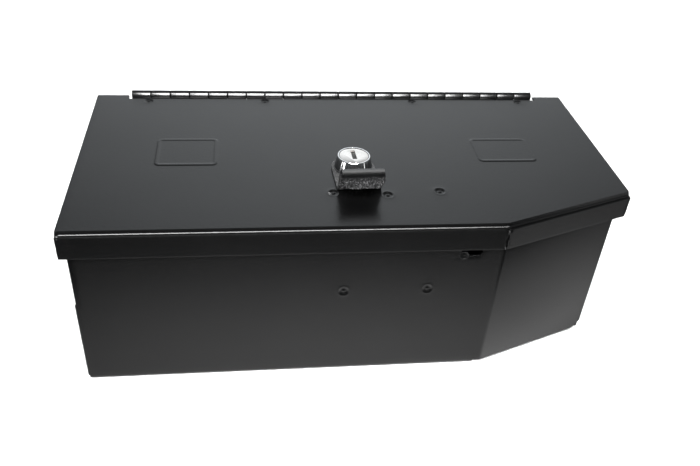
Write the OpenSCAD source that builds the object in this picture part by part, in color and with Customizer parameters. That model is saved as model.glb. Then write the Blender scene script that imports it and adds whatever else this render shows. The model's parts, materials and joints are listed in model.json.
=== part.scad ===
// Lockable sheet-steel box with one cut corner. A folded lid turns on a continuous
// hinge along the rear edge, and a cam lock clamped through a finger pull holds it shut.
// +Z is up, +X is to the right, the front faces -Y. The origin is the bottom centre of
// the whole part. All sizes are in millimetres.

/* [Lid] */
// Width of the lid over its end flanges
lid_w = 324; // [318:0.5:330]
// Depth of the lid from the front flange to the rear edge
lid_d = 156.5; // [150:0.5:165]
// Width of the cut taken off the front right corner
cut_w = 83.5; // [78:0.5:88]
// Depth of the cut taken off the front right corner
cut_d = 29.9; // [26:0.1:34]
// Height of the turned-down flange
flange_h = 16.3; // [14:0.1:18]
// Thickness of the lid sheet
lid_t = 1.5; // [1.2:0.1:1.5]
// Outer radius of the folds
fold_r = 3; // [2.5:0.1:3.5]
// Outer radius of the tighter folds at the lid's two ends
side_r = 1; // [0.8:0.1:1.5]

/* [Body] */
// Height of the lid's top face above the underside of the floor
box_h = 108.5; // [102:0.5:125]
// Thickness of the body sheet
wall_t = 1.5; // [1.2:0.1:1.6]
// Distance from the flange's outer face to the front wall's outer face
front_gap = 2.4; // [2.2:0.1:3]
// Distance from the corner flange's outer face to the corner wall's outer face
corner_gap = 1.87; // [1.83:0.01:2.4]
// Distance from the lid's left edge to the left end of the body
left_gap = 4; // [2.4:0.1:4.5]
// Distance from the lid's right edge to the right end of the body
right_gap = 7.8; // [6:0.1:9]
// Clearance under the inside of the lid's folds at the wall tops
lid_clear = 0.35; // [0.3:0.05:0.6]
// Width of the fold relief beside the cut corner
relief_w = 5; // [4:0.5:6]
// Height of the corner wall's raw lower edge above the floor's underside
corner_lift = 3.2; // [2.8:0.1:3.6]
// Distance from the corner wall's outer face to the floor's cut edge
floor_back = 4.7; // [4:0.1:6]

/* [Cable slot] */
// Centre-to-centre length of the slot under the flange
slot_run = 6; // [4:0.5:10]
// Half height of the slot
slot_r = 3.2; // [3:0.1:3.4]
// Height of the slot's centre line
slot_z = 89.6; // [88:0.1:90]

/* [Hinge] */
// Number of knuckles along the hinge
knuckles = 22; // [20:2:22]
// Pitch of the knuckles
knuckle_pitch = 12.7; // [12.5:0.1:12.9]
// Gap between neighbouring knuckles
knuckle_gap = 0.35; // [0.3:0.05:0.6]
// Outer radius of the hinge barrel
barrel_r = 2.7; // [2.6:0.05:2.8]
// Radius of the hinge pin
pin_r = 1.5; // [1.4:0.05:1.5]
// Thickness of a hinge leaf
leaf_t = 1.2; // [1:0.05:1.2]
// Width of a hinge leaf from the pin's axis
leaf_w = 15.9; // [13:0.1:18]
// Distance of the pin's axis behind the lid's rear edge
pin_back = 1.35; // [1.2:0.05:1.6]

/* [Lock] */
// Lock axis, distance to the right of the centre
lock_x = -1.6; // [-6:0.1:6]
// Lock axis, distance to the rear of the centre
lock_y = -19.7; // [-22:0.1:-16]
// Turn of the lock and of the finger pull about the lock axis
lock_turn = 2.4; // [0:0.1:4]
// Radius of the lock head where it meets the finger pull
head_base_r = 11.5; // [11.2:0.1:12]
// Radius of the lock head's face
head_face_r = 9.75; // [9.6:0.05:10]
// Height of the lock head's face above the lid
head_z = 9.3; // [9:0.1:10]
// Radius of the threaded barrel
thread_r = 9.5; // [9.3:0.05:9.5]
// Depth of the barrel's end below the lid's top face
thread_len = 28.5; // [27:0.5:29]
// Length of the latch cam from the lock axis to its tip
cam_len = 41; // [38:0.5:43]
// Number of double-bitted wafers
wafers = 10; // [6:1:10]

/* [Finger pull] */
// Half width of the pull's base plate
pull_r = 12.85; // [12.5:0.05:13.2]
// Half width of the pull's lip
lip_r = 11.9; // [11.5:0.05:12.5]
// Distance from the lock axis to the pull's upright
upright_y = 22.6; // [21.5:0.1:24]
// Outer radius of the bend over the top
lip_bend = 6; // [5:0.1:6.5]
// Length of the flat lip past the bend
lip_len = 5.4; // [4.5:0.1:6.5]
// Thickness of the pull's strap
pull_t = 1.5; // [1.4:0.1:1.6]

/* [Strike] */
// Width of the strike bracket
strike_w = 70; // [60:1:80]
// Reach of the strike's ledge behind the front wall
strike_reach = 26.5; // [24:0.5:30]

/* [Floor holes] */
// Hole spacing across the width
hole_dx = 240; // [200:5:260]
// Hole spacing across the depth
hole_dy = 90; // [60:5:100]
// Radius of a floor hole
hole_r = 3.5; // [2.5:0.1:4]

/* [Hidden] */
coat = "#1d1f21";
bright = "#d9dadb";
zinc = "#a9acae";
brassy = "#b59a55";
dark_steel = "#6e7072";

// outline of the lid
x_l = -lid_w / 2;
x_r = lid_w / 2;
depth = lid_d + pin_back + barrel_r;
y_f = -depth / 2;
y_tab = y_f + lid_d;
y_pin = y_tab + pin_back;
cut_a = atan2(cut_d, cut_w);

// body faces
bx_l = x_l + left_gap;
bx_r = x_r - right_gap;
by_f = y_f + front_gap;
by_b = y_pin - barrel_r;
wall_top = box_h - fold_r - lid_clear
    + sqrt(pow(fold_r - lid_t, 2) - pow(max(0, fold_r - min(front_gap, corner_gap)), 2));
rear_top = box_h - barrel_r - 0.9;
bend_x = meet(front_gap, corner_gap)[0];
relief_x = bend_x - relief_w - 0.4;

hinge_len = knuckles * knuckle_pitch;
bore_r = pin_r + 0.05;
notch_w = hinge_len + 3;

// lock heights below the lid's top face
under = lid_t + 1.5;
cam_top = thread_len + 1.7;
cam_t = 2.5;
strike_z = box_h - cam_top + 0.4;
strike_x = lock_x + 14.9;
wafer_pitch = 2.2;
shutter_z = 7.7;
shutter_x = 1.75;

// where the front line, set in by a, meets the cut line, set in by b
function meet(a, b) = let (q = cut_base(b)) [q[0] + (y_f + a - q[1]) / tan(cut_a), y_f + a];
// a point on the cut line set in by b
function cut_base(b) = [x_r - cut_w - b * sin(cut_a), y_f + b * cos(cut_a)];
// the cut line's depth at a given x, set in by b
function cut_y(x, b) = let (q = cut_base(b)) q[1] + (x - q[0]) * tan(cut_a);
// points along an arc
function arc(c, r, a0, a1, n) = [for (i = [0:n]) let (a = a0 + (a1 - a0) * i / n) [c[0] + r * cos(a), c[1] + r * sin(a)]];
function flip(p) = [for (i = [len(p) - 1:-1:0]) p[i]];

// the lid's outline set in by a at the front and s at the ends, at height z, from the rear left round to the rear right
function lid_ring(a, s, z) = [
    [x_l + s, y_tab, z], [x_l + s, y_f + a, z], concat(meet(a, a), [z]),
    [x_r - s, cut_y(x_r - s, a), z], [x_r - s, y_tab, z]];
// how far an end fold is set in at depth d below the lid's top face
function side_in(d) = d < side_r ? side_r - sqrt(pow(side_r, 2) - pow(side_r - d, 2)) : 0;

// skin of the folded lid: up the outside, over the folds, and down the inside
module folded_lid() {
    n = 10;
    ri = fold_r - lid_t;
    rings = concat(
        [lid_ring(0, 0, box_h - flange_h)],
        [for (i = [0:n]) let (q = 90 * i / n, d = fold_r * (1 - sin(q)))
            lid_ring(fold_r * (1 - cos(q)), side_in(d), box_h - d)],
        [for (i = [n:-1:0]) let (q = 90 * i / n)
            lid_ring(lid_t + ri * (1 - cos(q)), lid_t, box_h - lid_t - ri * (1 - sin(q)))],
        [lid_ring(lid_t, lid_t, box_h - flange_h)]);
    m = len(rings);
    polyhedron(
        points = [for (r = rings) each r],
        faces = concat(
            [for (k = [0:m - 2], j = [0:3]) if (k != n + 1) [k * 5 + j, (k + 1) * 5 + j, (k + 1) * 5 + j + 1, k * 5 + j + 1]],
            [for (j = [0:3]) [(m - 1) * 5 + j, j, j + 1, (m - 1) * 5 + j + 1]],
            [[for (j = [4:-1:0]) (n + 1) * 5 + j]],
            [[for (j = [0:4]) (n + 2) * 5 + j]],
            [concat([for (k = [0:n + 1]) k * 5 + 4], [for (k = [n + 1:-1:0]) k * 5],
                [for (k = [m - 1:-1:n + 2]) k * 5], [for (k = [n + 2:m - 1]) k * 5 + 4])]),
        convexity = 6);
}

module lid_panel() {
    color(coat)
    difference() {
        folded_lid();
        translate([-notch_w / 2, y_tab - 5.2, box_h - 5]) cube([notch_w, 10, 10]);
        at_lock(-lid_t - 1) cylinder(r = thread_r + 0.2, h = lid_t + 2, $fn = 96);
    }
}

// plan of the wall that runs along the front and turns along the cut corner
function wall_plan(x0) =
    let (c = meet(front_gap + fold_r, corner_gap + fold_r), yo = cut_y(bx_r, corner_gap))
    concat(
        [[x0, by_f]],
        arc(c, fold_r, -90, -90 + cut_a, 6),
        [[bx_r, yo], [bx_r - wall_t * sin(cut_a), yo + wall_t * cos(cut_a)]],
        arc(c, fold_r - wall_t, -90 + cut_a, -90, 6),
        [[x0, by_f + wall_t]]);

module body_shell() {
    r = fold_r;
    ri = fold_r - wall_t;
    color(coat)
    difference() {
        union() {
            // front wall, floor and rear wall up to the relief
            translate([bx_l, 0, 0]) rotate([90, 0, 90]) linear_extrude(height = relief_x - bx_l)
                polygon(concat(
                    [[by_f, wall_top]],
                    arc([by_f + r, r], r, 180, 270, 8),
                    arc([by_b - r, r], r, 270, 360, 8),
                    [[by_b, rear_top], [by_b - wall_t, rear_top]],
                    arc([by_b - r, r], ri, 360, 270, 8),
                    arc([by_f + r, r], ri, 270, 180, 8),
                    [[by_f + wall_t, wall_top]]));
            // rear wall and rear fold past the relief
            translate([relief_x - 0.5, 0, 0]) rotate([90, 0, 90]) linear_extrude(height = bx_r - relief_x + 0.5)
                polygon(concat(
                    [[0, 0]],
                    arc([by_b - r, r], r, 270, 360, 8),
                    [[by_b, rear_top], [by_b - wall_t, rear_top]],
                    arc([by_b - r, r], ri, 360, 270, 8),
                    [[0, wall_t]]));
            // floor under the cut corner
            linear_extrude(height = wall_t)
                polygon([[relief_x - 0.5, 1], [relief_x - 0.5, by_f + 4],
                         [meet(front_gap + 4, corner_gap + floor_back)[0], by_f + 4],
                         [bx_r, cut_y(bx_r, corner_gap + floor_back)], [bx_r, 1]]);
            // front wall past the relief, its bend and the corner wall
            translate([0, 0, corner_lift]) linear_extrude(height = wall_top - corner_lift)
                polygon(wall_plan(relief_x - 0.5));
        }
        // relief at the end of the front fold
        translate([relief_x, by_f - 1, -1]) cube([relief_w, 5.5, 2.9]);
        // small relief at the left end of the front fold
        translate([bx_l - 1, by_f - 1, -1]) cube([2.2, fold_r + 1, 2.4]);
        // clipped lower tip of the corner wall
        translate([bx_r, cut_y(bx_r, corner_gap), 0]) rotate([0, 0, cut_a])
            rotate([90, 0, 0]) linear_extrude(height = 12, center = true)
                polygon([[-5, corner_lift - 0.1], [3, corner_lift - 0.1], [3, corner_lift + 7.9]]);
        // slot under the flange
        for (s = [0, 1]) translate([slot_x(s), by_f - 1, slot_z]) rotate([-90, 0, 0])
            cylinder(r = slot_r, h = wall_t + 2, $fn = 48);
        translate([slot_x(0), by_f - 1, slot_z - slot_r]) cube([slot_run, wall_t + 2, 2 * slot_r]);
        // floor holes
        for (i = [-1, 1], j = [-1, 1]) translate([i * hole_dx / 2, j * hole_dy / 2, -1])
            cylinder(r = hole_r, h = wall_t + 2, $fn = 48);
    }
}
function slot_x(s) = 57.1 + s * slot_run;

module end_plate(x, y0, y1, clip0) {
    c = fold_r - wall_t + 0.4;
    color(coat)
    translate([x, 0, 0]) rotate([90, 0, 90]) linear_extrude(height = wall_t)
        polygon(concat(
            clip0 ? [[y0, wall_t + c], [y0 + c, wall_t]] : [[y0, wall_t]],
            [[y1 - c, wall_t], [y1, wall_t + c], [y1, rear_top], [y1 - 4, wall_top], [y0, wall_top]]));
}
module left_end_panel() { end_plate(bx_l, by_f + wall_t, by_b - wall_t, true); }
module right_end_panel() {
    end_plate(bx_r - wall_t, cut_y(bx_r, corner_gap) + wall_t * cos(cut_a), by_b - wall_t, false);
}

module strike_bracket() {
    r = 2.6;
    y0 = by_f + wall_t;
    top = strike_z + wall_t;
    low = strike_z - 22.5;
    color(coat)
    translate([strike_x - strike_w / 2, 0, 0]) rotate([90, 0, 90]) linear_extrude(height = strike_w)
        polygon(concat(
            [[y0, low]],
            arc([y0 + r, top - r], r, 180, 90, 8),
            [[y0 + strike_reach, top], [y0 + strike_reach, top - wall_t]],
            arc([y0 + r, top - r], r - wall_t, 90, 180, 8),
            [[y0 + wall_t, low]]));
}

// section of one knuckle and the strip that runs into it, the strip going down
function knuckle_plan(drop) = concat(
    [[-barrel_r, -drop]],
    arc([0, 0], barrel_r, 180, -acos((leaf_t - barrel_r) / barrel_r), 40),
    [[leaf_t - barrel_r, -drop]]);
function swap(p) = [for (q = p) [q[1], q[0]]];

module leaf(first, plan, strip) {
    difference() {
        union() {
            translate([-hinge_len / 2, y_pin, box_h]) rotate([90, 0, 90])
                linear_extrude(height = hinge_len) polygon(strip);
            for (i = [first:2:knuckles - 1])
                translate([-hinge_len / 2 + i * knuckle_pitch + knuckle_gap / 2, y_pin, box_h])
                    rotate([90, 0, 90]) linear_extrude(height = knuckle_pitch - knuckle_gap) polygon(plan);
        }
        translate([-hinge_len / 2 - 1, y_pin, box_h]) rotate([0, 90, 0])
            cylinder(r = bore_r, h = hinge_len + 2, $fn = 48);
    }
}
module hinge_body_leaf() {
    color(coat) leaf(0, knuckle_plan(5),
        [[-barrel_r, -leaf_w], [leaf_t - barrel_r, -leaf_w], [leaf_t - barrel_r, -3.5], [-barrel_r, -3.5]]);
}
module hinge_lid_leaf() {
    color(coat) leaf(1, swap(knuckle_plan(5)),
        [[-leaf_w, -barrel_r], [-3.5, -barrel_r], [-3.5, leaf_t - barrel_r], [-leaf_w, leaf_t - barrel_r]]);
}
module hinge_pin() {
    color(dark_steel) translate([-hinge_len / 2 + 0.3, y_pin, box_h]) rotate([0, 90, 0])
        cylinder(r = pin_r, h = hinge_len - 0.6, $fn = 48);
}

// moves a child to the lock axis, at a height above the lid's top face
module at_lock(z) {
    translate([lock_x, lock_y, box_h + z]) rotate([0, 0, lock_turn]) children();
}

module lock_doubler() {
    color(coat)
    difference() {
        translate([lock_x - 25, lock_y - 33, box_h - under]) cube([84, 49, under - lid_t]);
        at_lock(-under - 1) cylinder(r = thread_r + 0.2, h = 4, $fn = 96);
    }
}

// side section of the finger pull's strap
function pull_plan() =
    let (rb = 1.8, r = lip_bend, a = 145, zc = 16.7 - lip_bend, yc = -upright_y - lip_bend,
         e = [yc + r * cos(a), zc + r * sin(a)], d = [cos(a + 90), sin(a + 90)], n = [cos(a), sin(a)])
    concat(
        [[0, pull_t]],
        arc([rb - upright_y, pull_t + rb], rb, 270, 180, 6),
        arc([yc, zc], r, 0, a, 16),
        [[e[0] + lip_len * d[0], e[1] + lip_len * d[1]],
         [e[0] + lip_len * d[0] - pull_t * n[0], e[1] + lip_len * d[1] - pull_t * n[1]]],
        arc([yc, zc], r - pull_t, a, 0, 16),
        arc([rb - upright_y, pull_t + rb], rb + pull_t, 180, 270, 6),
        [[0, 0]]);

module finger_pull() {
    a = 145;
    zc = 16.7 - lip_bend;
    yc = -upright_y - lip_bend;
    rc = 5.5;
    color(coat)
    at_lock(0) difference() {
        union() {
            cylinder(r = pull_r, h = pull_t, $fn = 96);
            intersection() {
                rotate([90, 0, 90]) linear_extrude(height = 2 * pull_r, center = true) polygon(pull_plan());
                rotate([90, 0, 0]) linear_extrude(height = 60)
                    polygon([[-pull_r, -1], [pull_r, -1], [pull_r, 1.5], [lip_r, 13], [lip_r, 20],
                             [-lip_r, 20], [-lip_r, 13], [-pull_r, 1.5]]);
            }
        }
        translate([0, 0, -1]) cylinder(r = thread_r + 0.2, h = pull_t + 2, $fn = 96);
        // round corners of the lip, cut square to its flat face
        for (s = [-1, 1])
            translate([0, yc + lip_bend * cos(a), zc + lip_bend * sin(a)]) rotate([a - 180, 0, 0])
                translate([s * (lip_r - rc), 0, -(lip_len - rc)]) difference() {
                    translate([s > 0 ? 0 : -rc - 3, -3, -rc - 3]) cube([rc + 3, 6, rc + 3]);
                    rotate([90, 0, 0]) cylinder(r = rc, h = 8, center = true, $fn = 64);
                }
    }
}

module lock_housing() {
    color(bright)
    at_lock(0) difference() {
        union() {
            rotate_extrude($fn = 96)
                polygon([[0, -thread_len], [thread_r - 0.6, -thread_len], [thread_r, -thread_len + 0.6],
                         [thread_r, pull_t], [head_base_r, pull_t], [head_base_r, pull_t + 0.8],
                         [head_face_r + 0.1, head_z - 0.5], [head_face_r - 0.25, head_z], [0, head_z]]);
            // two stops on the barrel's end
            for (m = [42, 228]) rotate([0, 0, m]) translate([0, 0, -thread_len - 1.4])
                intersection() {
                    difference() {
                        cylinder(r = thread_r - 0.1, h = 2, $fn = 96);
                        translate([0, 0, -1]) cylinder(r = 7.3, h = 4, $fn = 96);
                    }
                    linear_extrude(height = 2) polygon([[0, 0], [14 * cos(20), -14 * sin(20)], [14 * cos(20), 14 * sin(20)]]);
                }
        }
        // two flats along the thread
        for (s = [-1, 1]) translate([s * 10.9 - 2, -12, -thread_len - 2]) cube([4, 24, thread_len - 0.4]);
        // bore for the plug and the recess for its face
        translate([0, 0, -thread_len - 2]) cylinder(r = 6.45, h = thread_len + 20, $fn = 96);
        translate([0, 0, head_z - 2.5]) cylinder(r = 8.85, h = 5, $fn = 96);
        // channels that the wafers lock into
        translate([-2.6, -8, -thread_len - 2]) cube([5.2, 16, thread_len + 6.4]);
    }
}

module lock_nut() {
    color(zinc) at_lock(-under - 5) difference() {
        cylinder(r = 12 / cos(30), h = 4, $fn = 6);
        translate([0, 0, -1]) cylinder(r = thread_r + 0.05, h = 6, $fn = 96);
    }
}
module nut_lock_washer() {
    color(zinc) at_lock(-under - 1) difference() {
        union() {
            cylinder(r = 12.6, h = 1, $fn = 96);
            for (i = [0:11]) rotate([0, 0, i * 30]) translate([12, -1, 0]) cube([1.6, 2, 1]);
        }
        translate([0, 0, -1]) cylinder(r = thread_r + 0.2, h = 3, $fn = 96);
    }
}

// height of wafer i above the lid's top face
function wafer_z(i) = 3.4 - i * wafer_pitch;

module lock_plug() {
    color(bright)
    at_lock(0) difference() {
        union() {
            translate([0, 0, head_z - 2.15]) cylinder(r = 8.5, h = 2, $fn = 96);
            translate([0, 0, -thread_len]) cylinder(r = 6.4, h = thread_len + head_z - 1, $fn = 96);
            intersection() {
                translate([0, 0, -cam_top - cam_t + 0.2]) cylinder(r = 4.6, h = 6, $fn = 64);
                translate([-3.4, -6, -cam_top - cam_t]) cube([6.8, 12, 8]);
            }
        }
        // key slot, a little to the rear in the face
        translate([-1.3, -3.95, head_z - 2.6]) cube([2.6, 10.2, 4]);
        translate([-1.3, -4.4, -18.6]) cube([2.6, 10, 25.6]);
        // pocket for the shutter and its spring, and the holes for the shutter's pivot
        translate([-1.35, -4.6, shutter_z - 3.2]) cube([shutter_x + 1.35 + 0.7, 11.6, 3.85]);
        translate([shutter_x, -5.7, shutter_z]) rotate([-90, 0, 0]) cylinder(r = 0.42, h = 13.4, $fn = 32);
        // wafer slots with their spring pockets
        for (i = [0:wafers - 1]) translate([0, 0, wafer_z(i) - 0.7]) {
            translate([-2.45, -8, 0]) cube([4.9, 16, 1.4]);
            translate([2.3, -2.6, 0]) cube([1.7, 5.2, 1.4]);
        }
        // thread for the cam screw
        translate([0, 0, -cam_top - cam_t - 1]) cylinder(r = 2.5, h = 12, $fn = 48);
    }
}
module tumbler_wafers() {
    color(brassy) at_lock(0)
    for (i = [0:wafers - 1]) translate([0, 0, wafer_z(i) - 0.5]) difference() {
        union() {
            translate([-2.35, -5.9, 0]) cube([4.7, 11.8, 1]);
            translate([2.3, 0.7, 0]) cube([1.5, 1.1, 1]);
        }
        translate([-1.45, -4.6, -1]) cube([2.9, 10, 3]);
    }
}
module wafer_springs() {
    color(dark_steel) at_lock(0)
    for (i = [0:wafers - 1]) translate([3.15, -2.55, wafer_z(i)]) rotate([-90, 0, 0])
        cylinder(r = 0.5, h = 3.2, $fn = 20);
}

module key_shutter() {
    color(dark_steel) at_lock(0) translate([shutter_x, 0, shutter_z]) union() {
        translate([0, -5.4, 0]) rotate([-90, 0, 0]) cylinder(r = 0.35, h = 12.8, $fn = 32);
        translate([-2.8, -3.8, -0.25]) cube([2.8, 9.7, 0.5]);
    }
}
module shutter_spring() {
    color(dark_steel) at_lock(0) translate([shutter_x, 6.2, shutter_z]) rotate([-90, 0, 0]) difference() {
        cylinder(r = 0.58, h = 0.7, $fn = 32);
        translate([0, 0, -1]) cylinder(r = 0.43, h = 3, $fn = 32);
    }
}

module stop_washer() {
    color(zinc) at_lock(-cam_top) difference() {
        union() {
            cylinder(r = 6.9, h = 1.4, $fn = 96);
            intersection() {
                cylinder(r = 9.2, h = 1.4, $fn = 96);
                linear_extrude(height = 2) polygon([[0, 0], [14 * cos(20), -14 * sin(20)], [14 * cos(20), 14 * sin(20)]]);
            }
        }
        double_d(1.4);
    }
}
module double_d(h) {
    intersection() {
        translate([0, 0, -1]) cylinder(r = 4.65, h = h + 2, $fn = 64);
        translate([-3.45, -6, -1]) cube([6.9, 12, h + 2]);
    }
}
module latch_cam() {
    color(zinc) at_lock(-cam_top - cam_t) difference() {
        union() {
            cylinder(r = 9, h = cam_t, $fn = 64);
            linear_extrude(height = cam_t) polygon([[0, -9], [8, -9], [14, -6.5], [cam_len - 3, -6.5], [cam_len, -3.5],
                                                 [cam_len, 3.5], [cam_len - 3, 6.5], [14, 6.5], [8, 9], [0, 9]]);
        }
        double_d(cam_t);
    }
}
module cam_washer() {
    color(zinc) at_lock(-cam_top - cam_t - 1) difference() {
        cylinder(r = 5.5, h = 1, $fn = 64);
        translate([0, 0, -1]) cylinder(r = 2.7, h = 3, $fn = 48);
    }
}
module cam_screw() {
    color(zinc) at_lock(-cam_top - cam_t - 4) difference() {
        union() {
            cylinder(r = 4.6, h = 3, $fn = 64);
            cylinder(r = 2.45, h = 14, $fn = 48);
        }
        for (q = [0, 90]) rotate([0, 0, q]) translate([-2.6, -0.5, -1]) cube([5.2, 1, 2.6]);
    }
}

body_shell();
left_end_panel();
right_end_panel();
strike_bracket();
hinge_body_leaf();
hinge_pin();
lid_panel();
hinge_lid_leaf();
lock_doubler();
finger_pull();
lock_housing();
lock_nut();
nut_lock_washer();
lock_plug();
key_shutter();
shutter_spring();
tumbler_wafers();
wafer_springs();
stop_washer();
latch_cam();
cam_washer();
cam_screw();
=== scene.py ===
"""Looks for a lockable powder-coated steel box: a folded lid on a piano hinge, a cam lock through a finger pull.
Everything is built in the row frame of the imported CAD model, in metres; lengths written here are millimetres."""

import json
import math

import bmesh
import bpy
import numpy as np
from mathutils import Matrix, Vector, noise
from mathutils.geometry import delaunay_2d_cdt

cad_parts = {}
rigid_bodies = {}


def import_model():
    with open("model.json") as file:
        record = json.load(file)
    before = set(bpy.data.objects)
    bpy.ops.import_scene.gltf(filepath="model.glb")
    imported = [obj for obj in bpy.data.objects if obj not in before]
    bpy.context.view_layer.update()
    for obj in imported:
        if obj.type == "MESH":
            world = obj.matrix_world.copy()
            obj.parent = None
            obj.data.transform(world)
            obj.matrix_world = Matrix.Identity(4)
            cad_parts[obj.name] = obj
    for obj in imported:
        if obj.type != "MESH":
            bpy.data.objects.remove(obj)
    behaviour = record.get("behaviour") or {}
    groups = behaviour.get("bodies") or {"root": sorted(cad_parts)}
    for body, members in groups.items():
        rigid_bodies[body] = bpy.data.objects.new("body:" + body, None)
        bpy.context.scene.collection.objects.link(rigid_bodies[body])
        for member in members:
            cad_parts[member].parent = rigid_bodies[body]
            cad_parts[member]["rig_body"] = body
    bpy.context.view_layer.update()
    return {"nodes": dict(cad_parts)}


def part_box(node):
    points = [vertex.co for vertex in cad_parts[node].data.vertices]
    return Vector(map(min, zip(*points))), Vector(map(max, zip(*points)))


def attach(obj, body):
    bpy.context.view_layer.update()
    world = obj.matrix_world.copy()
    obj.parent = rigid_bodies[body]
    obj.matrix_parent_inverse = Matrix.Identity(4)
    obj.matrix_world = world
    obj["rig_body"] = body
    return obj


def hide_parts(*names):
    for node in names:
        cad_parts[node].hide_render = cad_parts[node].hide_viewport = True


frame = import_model()
MM = 0.001


# ---------------------------------------------------------------- sizes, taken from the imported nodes
def node_box(n):
    lo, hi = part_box(n)
    return [c / MM for c in lo], [c / MM for c in hi]


(LX0, LY0, LZ0), (LX1, LY1, LZ1) = node_box("lid_panel")
(BX0, BY0, BZ0), (BX1, BY1, BZ1) = node_box("body_shell")
(KX0, KY0, KZ0), (KX1, KY1, KZ1) = node_box("hinge_pin")
XL, XR, YF, YT, H = LX0, LX1, LY0, LY1, LZ1
FL = LZ0                      # lower edge of the flange
CUT_W, CUT_D = 83.5, 29.9
CUT = math.atan2(CUT_D, CUT_W)
R, RS, T = 3.0, 1.0, 1.5      # fold radius at the front, at the two ends, sheet thickness
YPIN, ZPIN = (KY0 + KY1) / 2, (KZ0 + KZ1) / 2
LOCK = Vector((-1.6, -19.7, H))
TURN = math.radians(2.4)
WALL_Y = BY0                  # outer face of the front wall


# ---------------------------------------------------------------- small helpers
def smooth(a, b, x):
    t = min(1.0, max(0.0, (x - a) / (b - a)))
    return t * t * (3 - 2 * t)


def nz(x, y, z, k):
    return noise.noise(Vector((x * k, y * k, z * k)))


def new_object(name, me, mats, body, replaces=()):
    ob = bpy.data.objects.new(name, me)
    bpy.context.scene.collection.objects.link(ob)
    for m in mats:
        me.materials.append(m)
    if body:
        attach(ob, body)
    if replaces:
        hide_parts(*replaces)
    return ob


def shade(me, angle=32):
    me.polygons.foreach_set("use_smooth", [True] * len(me.polygons))
    me.set_sharp_from_angle(angle=math.radians(angle))


def finish_bm(bm, name, mats, body, replaces=(), angle=32, merge=0.002):
    if merge:
        bmesh.ops.remove_doubles(bm, verts=bm.verts, dist=merge)
    bmesh.ops.dissolve_degenerate(bm, edges=bm.edges, dist=0.0002)
    bmesh.ops.recalc_face_normals(bm, faces=bm.faces)
    bmesh.ops.scale(bm, vec=(MM, MM, MM), verts=bm.verts)
    me = bpy.data.meshes.new(name)
    bm.to_mesh(me)
    bm.free()
    shade(me, angle)
    return new_object(name, me, mats, body, replaces)


def inside(poly_edges, x, y):
    """Even-odd test against a list of 2-D segments."""
    hit = False
    for (x0, y0), (x1, y1) in poly_edges:
        if (y0 > y) != (y1 > y) and x < (x1 - x0) * (y - y0) / (y1 - y0) + x0:
            hit = not hit
    return hit


def inside_many(segs, pts):
    pts = np.asarray(pts, float)
    s = np.asarray(segs, float)
    x, y = pts[:, 0][:, None], pts[:, 1][:, None]
    x0, y0, x1, y1 = s[:, 0, 0], s[:, 0, 1], s[:, 1, 0], s[:, 1, 1]
    cond = (y0 > y) != (y1 > y)
    dy = np.where(y1 - y0 == 0, 1e-12, y1 - y0)
    xi = (x1 - x0) * (y - y0) / dy + x0
    return (np.sum(cond & (x < xi), axis=1) % 2) == 1


def seg_dist(segs, pts):
    pts = np.asarray(pts, float)[:, None, :]
    s = np.asarray(segs, float)
    a, b = s[:, 0], s[:, 1]
    d = b - a
    L = np.maximum((d ** 2).sum(1), 1e-12)
    t = np.clip(((pts - a) * d).sum(2) / L, 0, 1)
    q = a + t[..., None] * d
    return np.sqrt(((pts - q) ** 2).sum(2)).min(1)


def hexgrid(x0, x1, y0, y1, s):
    out = []
    dy = s * math.sqrt(3) / 2
    ny = int((y1 - y0) / dy) + 1
    nx = int((x1 - x0) / s) + 1
    for j in range(ny + 1):
        for i in range(nx + 1):
            out.append((x0 + (i + 0.5 * (j % 2)) * s, y0 + j * dy))
    return out


def mark_points(c, radii, n=26):
    out = [tuple(c)]
    for k, r in enumerate(radii):
        for i in range(n):
            a = 2 * math.pi * (i + 0.5 * (k % 2)) / n
            out.append((c[0] + r * math.cos(a), c[1] + r * math.sin(a)))
    return out


def rounded_rect(cx, cy, w, h, r, step=1.2, grow=0.0):
    w, h, r = w + 2 * grow, h + 2 * grow, max(0.05, r + grow)
    pts = []
    for qx, qy, a0 in ((1, 1, 0), (-1, 1, 90), (-1, -1, 180), (1, -1, 270)):
        ccx, ccy = cx + qx * (w / 2 - r), cy + qy * (h / 2 - r)
        m = max(4, int(r * 1.57 / 0.5))
        for i in range(m + 1):
            a = math.radians(a0 + 90 * i / m)
            pts.append((ccx + r * math.cos(a), ccy + r * math.sin(a)))
    out = []
    for i, p in enumerate(pts):
        q = pts[(i + 1) % len(pts)]
        L = math.dist(p, q)
        m = max(1, int(L / step))
        for j in range(m):
            out.append((p[0] + (q[0] - p[0]) * j / m, p[1] + (q[1] - p[1]) * j / m))
    return out


def triangulate(segs_pts, segs, extra, clear):
    """Triangles of the region bounded by segs (index pairs into segs_pts) with extra points inside."""
    seg_xy = [(segs_pts[a], segs_pts[b]) for a, b in segs]
    extra = np.array(extra, float).reshape(-1, 2)
    if len(extra):
        keep = inside_many(seg_xy, extra) & (seg_dist(seg_xy, extra) > clear)
        extra = extra[keep]
    pts = [Vector(p) for p in segs_pts] + [Vector(p) for p in extra]
    vo, eo, fo, ov, oe, of_ = delaunay_2d_cdt(pts, segs, [], 0, 1e-6)
    cen = [((vo[a] + vo[b] + vo[c]) / 3)[:] for a, b, c in fo]
    ok = inside_many(seg_xy, cen)
    tris = [f for f, k in zip(fo, ok) if k]
    return [tuple(v) for v in vo], tris


# ---------------------------------------------------------------- materials
def tree(name):
    m = bpy.data.materials.new(name)
    m.use_nodes = True
    nt = m.node_tree
    nt.nodes.clear()
    out = nt.nodes.new("ShaderNodeOutputMaterial")
    b = nt.nodes.new("ShaderNodeBsdfPrincipled")
    nt.links.new(b.outputs[0], out.inputs[0])
    tc = nt.nodes.new("ShaderNodeTexCoord")
    return m, nt, b, tc


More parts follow.
